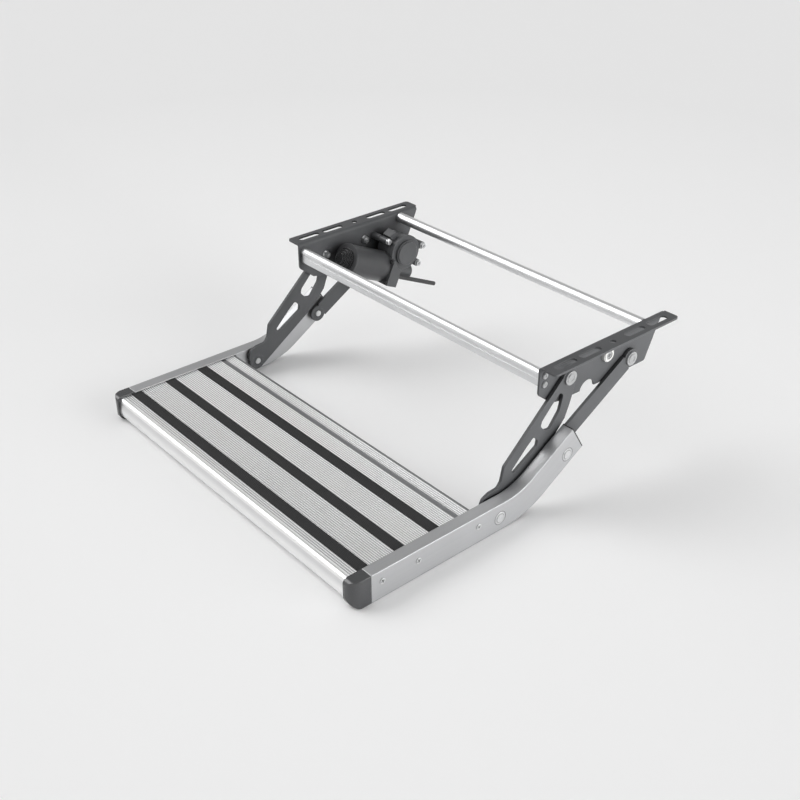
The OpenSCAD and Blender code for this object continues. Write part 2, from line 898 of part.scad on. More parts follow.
// Room inside the extrusion between two depths
module chamber(y0, y1, z0, x) {
    translate([-x - 1, y0, z0 + tread_t])
        cube([2 * x + 2, y1 - y0, chamber_top - z0 - tread_t]);
}

// Hollow aluminium extrusion with ribbed deck, strip channels, screw ports and a fluted nose
module tread_board() {
    mid = (screw_y[1] + screw_y[2]) / 2;
    h = tread_t / 2;
    low_c = [nose_f + nose_low_r, rail_low + nose_low_r];
    top_c = [nose_f + 1.8 + nose_top_r, deck - nose_top_r];
    crease = [nose_f + 1.9, deck - nose_top_r - 1.2];
    // angle at which the flat front leaves the lower round
    span = crease - low_c;
    tilt = atan2(span[1], span[0]) + acos(nose_low_r / norm(span));
    color("#bfc1c3") difference() {
        union() {
            difference() {
                union() {
                    // deck and box between the rail walls
                    plate(-rail_wall, rail_wall, concat(
                        [[rail_f, sole]],
                        deck_line(rail_f, tread_rear - 1),
                        [[tread_rear - 0.6, deck - rib_h], [tread_rear, deck - rib_h - 0.6],
                            [tread_rear, sole]]));
                    // round nose between the end caps, with a crease below its upper edge
                    rod(-rail_in, rail_in, low_c, nose_low_r);
                    rod(-rail_in, rail_in, top_c, nose_top_r);
                    plate(-rail_in, rail_in, concat(
                        [[rail_f, rail_low], [low_c[0], rail_low + 0.05], low_c,
                            low_c + (nose_low_r - 0.05) * [cos(tilt), sin(tilt)], crease,
                            crease + [0.5, 0.5], top_c, [top_c[0], deck - 0.05], [top_c[0] + 1, deck]],
                        deck_line(top_c[0] + 1.4, rail_f - 0.5),
                        [[rail_f, deck - rib_h]]));
                }
                chamber(rail_f + tread_t, screw_y[0] - h, sole, rail_wall);
                chamber(screw_y[0] + h, screw_y[1] - h, sole, rail_wall);
                chamber(screw_y[1] + h, mid - h, sole, rail_wall);
                chamber(mid + h, tread_rear - tread_t, sole, rail_wall);
                chamber(nose_room, rail_f - 1, rail_low, rail_in);
            }
            // screw ports
            for (y = screw_y)
                rod(-rail_wall, rail_wall, [y, screw_z], port_r);
        }
        // grip strip channels
        for (i = [0:2])
            translate([-rail_wall - 1, strip_1 + i * strip_p, deck - strip_t + 0.4])
                cube([2 * rail_wall + 2, strip_w, strip_t + 1]);
        // plain groove near the rear edge
        translate([-rail_wall - 1, groove_y, deck - rib_h - 0.3])
            cube([2 * rail_wall + 2, 7, 3]);
        for (y = screw_y)
            rod(-rail_wall - 1, rail_wall + 1, [y, screw_z], screw_r + bore_fit);
    }
}

// Black grip strip with fine ridges, held in a channel of the deck
module grip_strip(i) {
    y0 = strip_1 + i * strip_p;
    z0 = deck - strip_t + 0.4;
    step = strip_w / 8;
    color("#1d1e1f")
        plate(-rail_in, rail_in, concat(
            [[y0, z0], [y0, z0 + strip_t - 0.5]],
            [for (k = [0:7])
                each [[y0 + (k + 0.2) * step, z0 + strip_t], [y0 + (k + 0.7) * step, z0 + strip_t],
                    [y0 + (k + 0.9) * step, z0 + strip_t - 0.5]]],
            [[y0 + strip_w, z0 + strip_t - 0.5], [y0 + strip_w, z0]]));
}

module grip_strip_front() {
    grip_strip(0);
}

module grip_strip_middle() {
    grip_strip(1);
}

module grip_strip_rear() {
    grip_strip(2);
}

// Side rail, a box section with a raised rear leg, its inner wall is open where the tread is let in
module rail(s) {
    sided(s) color("#c6c8ca") difference() {
        union() {
            rail_run(0, rail_h, rail_wall, rail_out, rail_leg_l);
            rail_run(0, rail_t, rail_in, rail_out, rail_leg_l);
            rail_run(rail_h - rail_t, rail_h, rail_in, rail_out, rail_leg_l);
            rail_run(0, rail_h, rail_in, rail_in + rail_t, rail_leg_l);
        }
        translate([rail_in - 1, rail_f - 1, sole])
            cube([rail_t + 2, tread_rear + seat_gap - rail_f + 1, deck - sole]);
        for (p = [pc, pd])
            rod(rail_in - 1, rail_in + rail_t + 1, p, spacer_r + bore_fit);
        rod(rail_wall - 1, rail_out + 1, pc, rail_head_r);
        rod(rail_wall - 1, rail_out + 1, pd, rail_head_r);
        for (y = screw_y)
            rod(rail_wall - 1, rail_out + 1, [y, screw_z], screw_r + bore_fit);
    }
}

module rail_left() {
    rail(-1);
}

module rail_right() {
    rail(1);
}

// Dark plastic end cap of the nose with a spigot that sits in the nose chamber
module end_cap(s) {
    low_r = nose_low_r - 3;
    top_r = nose_top_r + 1.5;
    play = 0.15;
    sided(s) color("#35373a") {
        difference() {
            intersection() {
                union() {
                    translate([rail_in, nose_y, rail_low])
                        cube([rail_w - cap_r, nose_d, rail_h]);
                    translate([rail_in, nose_y + cap_r, rail_low])
                        cube([rail_w, nose_d - cap_r, rail_h]);
                    translate([rail_out - cap_r, nose_y + cap_r, rail_low])
                        cylinder(r = cap_r, h = rail_h);
                }
                union() {
                    translate([rail_in, nose_y, rail_low + low_r])
                        cube([rail_w, nose_d, rail_h - low_r - top_r]);
                    translate([rail_in, nose_y + low_r, rail_low])
                        cube([rail_w, nose_d - low_r, rail_h]);
                    translate([rail_in, nose_y + top_r, rail_top - top_r - 1])
                        cube([rail_w, nose_d - top_r, top_r + 1]);
                    rod(rail_in, rail_out, [nose_y + low_r, rail_low + low_r], low_r);
                    rod(rail_in, rail_out, [nose_y + top_r, rail_top - top_r], top_r);
                }
            }
            // flat back against the front end of the rail
            translate([rail_in - 1, rail_f, rail_low - 1])
                cube([rail_w + 2, nose_d, rail_h + 2]);
        }
        translate([rail_in - 10, nose_room + play, rail_low + tread_t + play])
            cube([10, rail_f - 1 - nose_room - 2 * play, chamber_top - rail_low - tread_t - 2 * play]);
    }
}

module end_cap_left() {
    end_cap(-1);
}

module end_cap_right() {
    end_cap(1);
}

// Cross head screw through the rail into a port of the tread
module rail_screw(s, y) {
    sided(s) color("#a3a6a9") difference() {
        union() {
            rod(rail_wall - 12, rail_out, [y, screw_z], screw_r);
            rod(rail_out, rail_out + 0.6, [y, screw_z], 4);
            rod(rail_out + 0.6, rail_out + 1, [y, screw_z], 3.4);
        }
        for (a = [20, 110])
            translate([rail_out - 0.4, y, screw_z])
                rotate([a, 0, 0])
                    translate([0, -2.6, -0.55])
                        cube([4, 5.2, 1.1]);
    }
}

module rail_screw_left_front() {
    rail_screw(-1, screw_y[0]);
}

module rail_screw_left_middle() {
    rail_screw(-1, screw_y[1]);
}

module rail_screw_left_rear() {
    rail_screw(-1, screw_y[2]);
}

module rail_screw_right_front() {
    rail_screw(1, screw_y[0]);
}

module rail_screw_right_middle() {
    rail_screw(1, screw_y[1]);
}

module rail_screw_right_rear() {
    rail_screw(1, screw_y[2]);
}

// Head and spacer of a lower pivot, riveted into the rail wall
module rail_stud(p, x0) {
    rod(x0, rail_wall, p, spacer_r);
    rod(rail_wall - 1.5, rail_wall, p, rail_head_r + 2);
    rod(rail_wall, rail_out - 0.15, p, rail_head_r);
    rod(rail_out - 0.15, rail_out + 0.4, p, rail_head_r - 0.7);
    rod(rail_out + 0.4, rail_out + 0.8, p, 0.7 * rail_head_r);
}

// Lower pin of the rear arm, its spacer fills the channel of the rail
module leg_pin(s) {
    sided(s) color("#c4c7ca") {
        rail_stud(pd, arm_out + end_play);
        rod(arm_in - low_pin_out, arm_out + end_play, pd, low_pin_r);
        rod(arm_in - end_play - 1, arm_in - end_play, pd, low_pin_r + 0.6);
    }
}

module leg_pin_left() {
    leg_pin(-1);
}

module leg_pin_right() {
    leg_pin(1);
}

// Outer half of the foot pivot, riveted into the rail wall
module foot_stud(s) {
    sided(s) color("#c4c7ca")
        rail_stud(pc, arm_out + 4 * end_play);
}

module foot_stud_left() {
    foot_stud(-1);
}

module foot_stud_right() {
    foot_stud(1);
}

// Black plastic plug in the open end of the raised leg
module rail_plug(s) {
    play = 0.1;
    sided(s) color("#232426") translate([0, turn[0], turn[1]]) rotate([rail_bend_a, 0, 0]) {
        translate([rail_in, rail_leg_l, -rail_bend_r - rail_h])
            cube([rail_w, plug_t, rail_h]);
        translate([rail_in + rail_t + play, rail_leg_l - plug_in, -rail_bend_r - rail_h + rail_t + play])
            cube([rail_w - 2 * rail_t - 2 * play, plug_in, rail_h - 2 * rail_t - 2 * play]);
    }
}

module rail_plug_left() {
    rail_plug(-1);
}

module rail_plug_right() {
    rail_plug(1);
}

bracket_left();
bracket_right();
front_profile();
rear_tube();
profile_screw_left_upper();
profile_screw_left_lower();
profile_screw_right_upper();
profile_screw_right_lower();
pin_a_left();
pin_a_right();
pin_b_right();
stop_ring_left();
stop_ring_right();
stop_screw_left();
stop_screw_right();
stop_nut_left();
stop_nut_right();
gear_housing();
gear_cover();
gear_bolt_front();
gear_bolt_rear();
gear_bolt_low();
motor_can();
motor_cap();
motor_screw_upper();
motor_screw_lower();
magnet_upper();
magnet_lower();
output_bush();
cable_gland();
motor_cable();
armature();
drive_shaft();
worm_wheel();
rear_arm_left();
rear_arm_right();
front_arm_left();
front_arm_right();
foot_pin_left();
foot_pin_right();
tread_board();
grip_strip_front();
grip_strip_middle();
grip_strip_rear();
rail_left();
rail_right();
end_cap_left();
end_cap_right();
rail_screw_left_front();
rail_screw_left_middle();
rail_screw_left_rear();
rail_screw_right_front();
rail_screw_right_middle();
rail_screw_right_rear();
leg_pin_left();
leg_pin_right();
foot_stud_left();
foot_stud_right();
rail_plug_left();
rail_plug_right();
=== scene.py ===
import math
import bpy
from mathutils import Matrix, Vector


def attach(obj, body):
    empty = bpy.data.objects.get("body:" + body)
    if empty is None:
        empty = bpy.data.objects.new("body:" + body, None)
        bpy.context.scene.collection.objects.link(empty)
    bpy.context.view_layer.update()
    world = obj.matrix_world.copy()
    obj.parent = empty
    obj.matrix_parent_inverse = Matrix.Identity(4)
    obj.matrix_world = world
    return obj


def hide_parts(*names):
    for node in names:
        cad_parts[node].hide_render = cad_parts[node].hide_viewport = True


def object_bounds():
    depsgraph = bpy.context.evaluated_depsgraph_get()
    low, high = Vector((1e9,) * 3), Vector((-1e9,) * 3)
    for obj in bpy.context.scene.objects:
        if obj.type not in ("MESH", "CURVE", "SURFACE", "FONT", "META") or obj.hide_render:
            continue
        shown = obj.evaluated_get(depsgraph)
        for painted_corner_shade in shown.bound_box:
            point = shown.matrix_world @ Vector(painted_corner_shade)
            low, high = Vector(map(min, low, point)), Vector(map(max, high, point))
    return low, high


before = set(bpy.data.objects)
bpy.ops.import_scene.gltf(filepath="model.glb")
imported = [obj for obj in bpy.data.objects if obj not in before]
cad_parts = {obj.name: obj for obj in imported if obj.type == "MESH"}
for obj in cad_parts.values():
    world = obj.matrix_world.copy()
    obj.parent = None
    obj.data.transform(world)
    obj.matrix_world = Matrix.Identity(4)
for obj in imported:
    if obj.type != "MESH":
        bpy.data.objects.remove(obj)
cad_box = [list(painted_corner_shade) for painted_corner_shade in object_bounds()]
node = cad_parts


# Mounting brackets: laser-cut sheet steel, folded to a flange with slots that bolts to the
# chassis, and a web that carries the pivots. Dark grey powder coat, matt and slightly
# grainy, a shade lighter along the cut edges where the coat draws thin, and painted darker as
# shade in corners and where parts come close.
class Wire:
    """One shader socket. Arithmetic on it adds Math nodes, and add() places any other node."""

    def __init__(self, tree, socket=None):
        self.tree, self.socket = tree, socket

    def put(self, target, value):
        if isinstance(value, Wire):
            self.tree.links.new(value.socket, target)
        else:
            target.default_value = value

    def add(self, kind, settings, sockets, out=0):
        made = self.tree.nodes.new(kind)
        for key, value in settings.items():
            setattr(made, key, value)
        for key, value in sockets.items():
            self.put(made.inputs[key], value)
        return Wire(self.tree, made.outputs[out])

    def maths(self, operation, *values):
        return self.add("ShaderNodeMath", {"operation": operation}, dict(enumerate(values)))

    def __add__(self, other):
        return self.maths("ADD", self, other)

    def __radd__(self, other):
        return self.maths("ADD", other, self)

    def __sub__(self, other):
        return self.maths("SUBTRACT", self, other)

    def __rsub__(self, other):
        return self.maths("SUBTRACT", other, self)

    def __mul__(self, other):
        return self.maths("MULTIPLY", self, other)

    def __rmul__(self, other):
        return self.maths("MULTIPLY", other, self)

    def __pow__(self, other):
        return self.maths("POWER", self, other)


def begin_finish(name):
    """New material, its principled shader and the metre coordinates of the piece."""
    made = bpy.data.materials.new(name)
    made.use_nodes = True
    shader = made.node_tree.nodes["Principled BSDF"]
    start = Wire(made.node_tree)
    place = start.add("ShaderNodeTexCoord", {}, {}, out="Object")
    return made, shader, start, place


def cloud(place, scale, detail=3.0):
    """Soft noise from 0 to 1 over the piece, scale in waves per metre."""
    return place.add("ShaderNodeTexNoise", {}, {"Vector": place, "Scale": scale, "Detail": detail})


def colour(red, green, blue):
    """Solid linear colour for a socket."""
    return (red, green, blue, 1.0)


def between(mask, dark, light):
    """Colour that goes from dark to light with the mask."""
    return mask.add("ShaderNodeMix", {"data_type": "RGBA"},
                    {"Factor": mask, 6: dark, 7: light}, out=2)


def band(value, low, high):
    """0 below low, 1 above high and straight between them."""
    return value.add("ShaderNodeMapRange", {}, {"Value": value, "From Min": low, "From Max": high})


def rounded_edge(start, radius):
    """Normal that runs softly over the folded and cut edges of a piece."""
    return start.add("ShaderNodeBevel", {"samples": 6}, {"Radius": radius})


def edge_mask(start, radius):
    """1 along sharp edges and 0 on flat faces, from how far the rounded normal leans."""
    edge_begins, edge_full = 0.004, 0.12
    rounded = rounded_edge(start, radius)
    flat = start.add("ShaderNodeNewGeometry", {}, {}, out="Normal")
    alike = start.add("ShaderNodeVectorMath", {"operation": "DOT_PRODUCT"},
                      {0: rounded, 1: flat}, out="Value")
    return band(1.0 - alike, edge_begins, edge_full)


def relief(height, depth, normal):
    """Bump of a height from 0 to 1, depth in metres, on top of a normal."""
    return height.add("ShaderNodeBump", {}, {"Strength": 1.0, "Distance": depth,
                                             "Height": height, "Normal": normal})


def axis_value(place, axis):
    """One coordinate of the piece, in metres."""
    return place.add("ShaderNodeSeparateXYZ", {}, {0: place}, out=axis)


def pivot_ring(place, pivot, inner, outer):
    """1 on a ring round a cross pivot, 0 elsewhere, for the rub of a washer or pin head or for
    painted shade in a seam or step.
    """
    off_y = axis_value(place, "Y") - pivot[0]
    off_z = axis_value(place, "Z") - pivot[1]
    radius = (off_y * off_y + off_z * off_z) ** 0.5
    soft = 0.25 * (outer - inner)
    within = 1.0 - band(radius, outer - soft, outer + soft)
    return band(radius, inner - soft, inner + soft) * within


def wear(made, names):
    """Gives a finish to the named pieces of the frame."""
    for name in names:
        node[name].data.materials.clear()
        node[name].data.materials.append(made)


front_pivot, rear_pivot = (-0.0695, -0.030), (0.052, -0.0465)
front_foot, rear_foot = (-0.2055, -0.171), (-0.0866, -0.1285)
pin_head_rim, rubbed_rim = 0.0085, 0.0125


def powder_coat(name, pivots):
    """Grey powder coat on sheet steel, with a faint rub round each of the pivots and painted shade
    in its corners.
    """
    made, shader, start, place = begin_finish(name)
    grain = cloud(place, 1500.0, 2.0)
    drift = cloud(place, 14.0)
    edge = edge_mask(start, 0.0007)
    rings = sum(pivot_ring(place, pivot, pin_head_rim, rubbed_rim) for pivot in pivots)
    rub = band(cloud(place, 320.0), 0.42, 0.62) * rings
    base = between(band(drift, 0.3, 0.7),
                   colour(0.066, 0.068, 0.071), colour(0.086, 0.088, 0.092))
    # Painted shade: the coat is darkened where other parts come close, in corners, slots and gaps.
    painted_corner_shade = start.add("ShaderNodeAmbientOcclusion", {"samples": 8}, {"Distance": 0.022}, out="AO")
    base = between(painted_corner_shade, colour(0.012, 0.0125, 0.0135), base)
    base = between(0.08 * rub, base, colour(0.3, 0.305, 0.31))
    base = between(0.5 * edge, base, colour(0.18, 0.184, 0.19))
    start.put(shader.inputs["Base Color"], base)
    start.put(shader.inputs["Roughness"], 0.45 + 0.1 * grain - 0.06 * edge - 0.08 * rub)
    start.put(shader.inputs["Normal"], relief(grain, 0.00005, rounded_edge(start, 0.0008)))
    shader.inputs["Specular IOR Level"].default_value = 0.36
    return made


bracket_coat = powder_coat("bracket_powder_coat", [front_pivot, rear_pivot])
wear(bracket_coat, ["bracket_left", "bracket_right"])


# Front cross profile: anodised aluminium extrusion, screwed between the brackets. Die lines
# run its whole length, and the anodising leaves it bright and a little milky.
def stretched(place, x, y, z):
    """Coordinates drawn out by a scale on each axis."""
    return place.add("ShaderNodeVectorMath", {"operation": "MULTIPLY"}, {0: place, 1: (x, y, z)})


bright, shader, start, place = begin_finish("front_profile_aluminium")
lines = cloud(stretched(place, 3.0, 2600.0, 2600.0), 1.0, 2.0)
haze = cloud(place, 18.0, 2.0)
start.put(shader.inputs["Base Color"],
          between(lines, colour(0.73, 0.735, 0.745), colour(0.8, 0.805, 0.81)))
shader.inputs["Metallic"].default_value = 1.0
start.put(shader.inputs["Roughness"], 0.34 + 0.03 * lines + 0.04 * haze)
start.put(shader.inputs["Normal"], relief(lines, 0.0000007, rounded_edge(start, 0.0005)))
wear(bright, ["front_profile"])

# Rear cross tube: cold-drawn tube that ties the two brackets together at the back. It is
# brighter and smoother than the extrusions.
drawn, shader, start, place = begin_finish("rear_tube_bright")
lines = cloud(stretched(place, 4.0, 1800.0, 1800.0), 1.0, 2.0)
start.put(shader.inputs["Base Color"],
          between(lines, colour(0.74, 0.745, 0.755), colour(0.84, 0.845, 0.85)))
shader.inputs["Metallic"].default_value = 1.0
start.put(shader.inputs["Roughness"], 0.34 + 0.03 * lines)
start.put(shader.inputs["Normal"], relief(lines, 0.0000005, rounded_edge(start, 0.0004)))
wear(drawn, ["rear_tube"])

# Pins, bolts, nuts and screws: turned and cold-headed steel with a bright zinc plate, faint
# turning marks and a cloudy passivation.
zinc, shader, start, place = begin_finish("zinc_plate")
mist = cloud(place, 260.0)
spangle = cloud(place, 1400.0, 2.0)
start.put(shader.inputs["Base Color"],
          between(0.6 * mist + 0.4 * spangle,
                  colour(0.56, 0.565, 0.57), colour(0.78, 0.785, 0.79)))
shader.inputs["Metallic"].default_value = 1.0
start.put(shader.inputs["Roughness"], 0.26 + 0.14 * mist)
start.put(shader.inputs["Normal"], relief(spangle, 0.00001, rounded_edge(start, 0.0003)))
zinc_kinds = ("drive_shaft", "pin_", "foot_pin", "gear_bolt", "stop_screw", "stop_nut",
              "profile_screw")
zinc_pieces = [name for name in sorted(node) if name.startswith(zinc_kinds)]
wear(zinc, zinc_pieces)

# Gear housing and cover: pressure die castings under dark paint, with the orange peel of
# a sprayed coat and a paler line where the paint thins over the rims.
casting, shader, start, place = begin_finish("painted_casting")
peel = cloud(place, 700.0, 2.0)
drift = cloud(place, 40.0)
edge = edge_mask(start, 0.0008)
start.put(shader.inputs["Base Color"],
          between(0.45 * drift + 0.55 * edge,
                  colour(0.055, 0.057, 0.06), colour(0.15, 0.152, 0.157)))
start.put(shader.inputs["Roughness"], 0.3 + 0.12 * peel)
start.put(shader.inputs["Normal"], relief(peel, 0.00008, rounded_edge(start, 0.001)))
wear(casting, ["gear_housing", "gear_cover"])

# Motor can and armature: rolled steel barrel in satin dark paint, bolted to the gear housing.
# The armature turns inside it, out of sight.
can, shader, start, place = begin_finish("motor_can_paint")
peel = cloud(place, 900.0, 2.0)
drift = cloud(place, 30.0)
start.put(shader.inputs["Base Color"],
          between(drift, colour(0.044, 0.045, 0.047), colour(0.07, 0.071, 0.074)))
start.put(shader.inputs["Roughness"], 0.26 + 0.1 * peel)
start.put(shader.inputs["Normal"], relief(peel, 0.00004, rounded_edge(start, 0.0006)))
wear(can, ["motor_can", "armature"])

# Motor end cap, cable gland, flange screws, magnets and the plugs in the rails' ends: black
# moulded plastic and blackened steel, pushed or screwed in. Their edges are painted paler, as a
# painted highlight.
black, shader, start, place = begin_finish("black_mouldings")
grain = cloud(place, 1500.0, 2.0)
base = between(grain, colour(0.009, 0.009, 0.0095), colour(0.022, 0.022, 0.023))
start.put(shader.inputs["Base Color"],
          # Painted highlight: the sharp edges are lightened like glints on the rims.
          between(0.7 * edge_mask(start, 0.0006), base, colour(0.3, 0.3, 0.31)))
start.put(shader.inputs["Roughness"], 0.2 + 0.14 * grain)
start.put(shader.inputs["Normal"], relief(grain, 0.00004, rounded_edge(start, 0.0006)))
wear(black, ["motor_cap", "cable_gland", "motor_screw_upper", "motor_screw_lower",
             "magnet_upper", "magnet_lower", "rail_plug_left", "rail_plug_right"])

# Supply cable: a short sheathed lead that leaves the gear block straight along the motor axis
# and ends in the air, cut square. It is stiff, about seven millimetres thick.
cable_tilt = math.radians(24.8)
motor_axis = Vector((0.0, math.cos(cable_tilt), -math.sin(cable_tilt)))
motor_up = Vector((0.0, math.sin(cable_tilt), math.cos(cable_tilt)))
output_centre = Vector((-0.219, 0.052, -0.0465))
inward, below, back = 0.0175, 0.041, 0.004
cable_root = (output_centre + Vector((inward, 0.0, 0.0))
              - below * motor_up - back * motor_axis)
cable_length, cable_radius, cable_steps = 0.094, 0.0035, 20
cable_curve = bpy.data.curves.new("supply_cable", "CURVE")
cable_curve.dimensions = "3D"
cable_curve.bevel_depth, cable_curve.bevel_resolution = cable_radius, 6
cable_curve.use_fill_caps = True
cable_line = cable_curve.splines.new("POLY")
cable_line.points.add(cable_steps)
for i in range(cable_steps + 1):
    cable_line.points[i].co = (*(cable_root + motor_axis * (cable_length * i / cable_steps)), 1.0)
cable_piece = bpy.data.objects.new("supply_cable", cable_curve)
bpy.context.collection.objects.link(cable_piece)
sheath, shader, start, place = begin_finish("cable_sheath")
scuff = cloud(place, 900.0)
start.put(shader.inputs["Base Color"],
          between(band(scuff, 0.35, 0.75), colour(0.03, 0.03, 0.031), colour(0.055, 0.055, 0.057)))
start.put(shader.inputs["Roughness"], 0.42 + 0.2 * scuff)
start.put(shader.inputs["Normal"],
          relief(cloud(place, 2600.0), 0.00004, rounded_edge(start, 0.0005)))
cable_curve.materials.append(sheath)
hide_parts("motor_cable")
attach(cable_piece, "frame")

# Output bush and worm wheel: machined bronze. The bush is pressed into the left bracket and
# the wheel sits on the drive shaft, inside the gear housing.
bronze, shader, start, place = begin_finish("bush_bronze")
mist = cloud(place, 700.0)
start.put(shader.inputs["Base Color"],
          between(mist, colour(0.36, 0.25, 0.11), colour(0.52, 0.38, 0.18)))
shader.inputs["Metallic"].default_value = 1.0
start.put(shader.inputs["Roughness"], 0.3 + 0.15 * mist)
start.put(shader.inputs["Normal"], relief(mist, 0.00002, rounded_edge(start, 0.0003)))
wear(bronze, ["output_bush", "worm_wheel"])

# Stop rings: moulded buffers of white nylon, each held on its bracket by a screw and a nut.
# They are slightly scuffed where the arms meet them.
nylon, shader, start, place = begin_finish("stop_ring_nylon")
mist = cloud(place, 500.0)
start.put(shader.inputs["Base Color"],
          between(mist, colour(0.5, 0.5, 0.485), colour(0.62, 0.62, 0.605)))
start.put(shader.inputs["Roughness"], 0.36 + 0.15 * mist)
start.put(shader.inputs["Normal"], relief(mist, 0.00003, rounded_edge(start, 0.0004)))
wear(nylon, ["stop_ring_left", "stop_ring_right"])

# Swing arms: flat laser-cut steel plates that carry the tread, in the same coat as the
# brackets. The pin heads have rubbed a faint ring round their pivots.
arm_coat = powder_coat("arm_powder_coat", [front_pivot, rear_pivot, front_foot, rear_foot])
wear(arm_coat, ["rear_arm_left", "rear_arm_right", "front_arm_left", "front_arm_right"])

# Tread board: satin extrusion with a round nose and lengthwise ribs. The rib crests and the
# rounds of the nose are painted bright as a painted highlight and made smoother, and the valleys
# and the flat under the nose's crease are painted darker as painted shade and made duller.
deck, shader, start, place = begin_finish("tread_aluminium")
lines = cloud(stretched(place, 2.5, 2200.0, 2200.0), 1.0, 2.0)
drift = cloud(place, 9.0)
height = axis_value(place, "Z")
rib_foot, rib_crest, nose_back = -0.15295, -0.15235, -0.432
flat_foot, flat_begins, flat_ends, flat_crease = -0.170, -0.163, -0.1592, -0.1582
wall_top, groove_floor = -0.1546, -0.1541
crest = band(height, rib_foot, rib_crest)
on_nose = 1.0 - band(axis_value(place, "Y"), nose_back, nose_back + 0.001)
# Painted shade: the flat just under the nose's crease is painted darker, and also made rougher.
matt_flat_painted_shade = (band(height, flat_foot, flat_begins)
             * (1.0 - band(height, flat_ends, flat_crease)))
side_wall = 1.0 - band(height, wall_top, groove_floor)
# Painted light: crests and nose painted bright, valleys painted dark as shade; the same mask sets
# roughness.
polish_and_painted_light = ((0.8 * crest + 0.55 * side_wall) * (1.0 - on_nose)
          + on_nose * (1.0 - 0.28 * matt_flat_painted_shade))
tone = 0.85 * polish_and_painted_light + 0.1 * lines + 0.05 * drift
start.put(shader.inputs["Base Color"],
          between(tone, colour(0.235, 0.237, 0.242), colour(0.985, 0.985, 0.985)))
shader.inputs["Metallic"].default_value = 1.0
start.put(shader.inputs["Roughness"], 0.42 - 0.12 * polish_and_painted_light + 0.08 * drift)
start.put(shader.inputs["Normal"], relief(lines, 0.00001, rounded_edge(start, 0.0003)))
wear(deck, ["tread_board"])

# Grip strips: black rubber faced with grit, cut to length and let into grooves of the tread.
# A little dust lies on them.
grip, shader, start, place = begin_finish("grip_strip_rubber")
grit = place.add("ShaderNodeTexVoronoi", {}, {"Vector": place, "Scale": 1500.0})
dust = cloud(place, 60.0)
start.put(shader.inputs["Base Color"],
          between(0.6 * grit + 0.4 * dust,
                  colour(0.009, 0.009, 0.0095), colour(0.034, 0.034, 0.035)))
start.put(shader.inputs["Roughness"], 0.72 + 0.2 * grit)
start.put(shader.inputs["Normal"], relief(grit, 0.00025, rounded_edge(start, 0.0003)))
wear(grip, ["grip_strip_front", "grip_strip_middle", "grip_strip_rear"])

# Side rails: satin aluminium box sections, bent upwards at the back and screwed to the tread.
# The draw lines follow the section round its bend.
rail_metal, shader, start, place = begin_finish("rail_aluminium")
turn_y, turn_z, turn_angle = -0.1965, -0.058, math.radians(31.8)
along = axis_value(place, "Y")
past_turn, under_turn = along - turn_y, turn_z - axis_value(place, "Z")
radius = (past_turn * past_turn + under_turn * under_turn) ** 0.5
leg_depth = past_turn * math.sin(turn_angle) + under_turn * math.cos(turn_angle)
leg_run = past_turn * math.cos(turn_angle) - under_turn * math.sin(turn_angle)
bent = past_turn.maths("GREATER_THAN", past_turn, 0.0)
raised = leg_run.maths("GREATER_THAN", leg_run, 0.0)
depth_line = under_turn + bent * (radius - under_turn) + raised * (leg_depth - radius)
across_lines, along_lines = 2400.0, 4.0
path = start.add("ShaderNodeCombineXYZ", {}, {"X": across_lines * axis_value(place, "X"),
                                              "Y": across_lines * depth_line,
                                              "Z": along_lines * along})
lines = cloud(path, 1.0, 2.0)
haze = cloud(place, 12.0)
head_rim, seam_rim = 0.0086, 0.0098
# Painted shade: a dark ring round each stud head, in the gap where the head meets the rail's wall.
painted_seam_shade = (pivot_ring(place, front_foot, head_rim, seam_rim)
        + pivot_ring(place, rear_foot, head_rim, seam_rim))
base = between(0.6 * lines + 0.4 * haze,
               colour(0.42, 0.424, 0.432), colour(0.56, 0.564, 0.572))
start.put(shader.inputs["Base Color"], between(0.75 * painted_seam_shade, base, colour(0.1, 0.1, 0.1)))
shader.inputs["Metallic"].default_value = 0.85
start.put(shader.inputs["Roughness"], 0.38 + 0.08 * lines + 0.06 * haze)
start.put(shader.inputs["Normal"], relief(lines, 0.00001, rounded_edge(start, 0.002)))
wear(rail_metal, ["rail_left", "rail_right"])


# Rail screws, studs and leg pins: plated steel, flush with the rails' walls. Painted shade darkens
# the cross recesses of the screws and the steps of the riveted heads.
def begin_plated(name):
    """Finish of bright plated steel, cloudy all over, before any painted shade."""
    made, shader, start, place = begin_finish(name)
    mist = cloud(place, 260.0)
    clean = between(mist, colour(0.62, 0.625, 0.63), colour(0.8, 0.805, 0.81))
    shader.inputs["Metallic"].default_value = 0.9
    return made, shader, start, place, mist, clean


plated, shader, start, place, mist, clean = begin_plated("plated_rail_fixings")
step_inner, step_outer = 0.0058, 0.0066
# Painted shade in the steps of the riveted heads.
painted_step_shade = (pivot_ring(place, front_foot, step_inner, step_outer)
         + pivot_ring(place, rear_foot, step_inner, step_outer))
start.put(shader.inputs["Base Color"], between(0.6 * painted_step_shade, clean, colour(0.12, 0.12, 0.12)))
start.put(shader.inputs["Roughness"], 0.3 + 0.14 * mist)
start.put(shader.inputs["Normal"], relief(mist, 0.00001, rounded_edge(start, 0.0004)))
wear(plated, ["foot_stud_left", "foot_stud_right", "leg_pin_left", "leg_pin_right"])

crossed, shader, start, place, mist, clean = begin_plated("cross_head_zinc")
recess_floor, recess_rim = 0.27635, 0.27655
out_x = axis_value(place, "X")
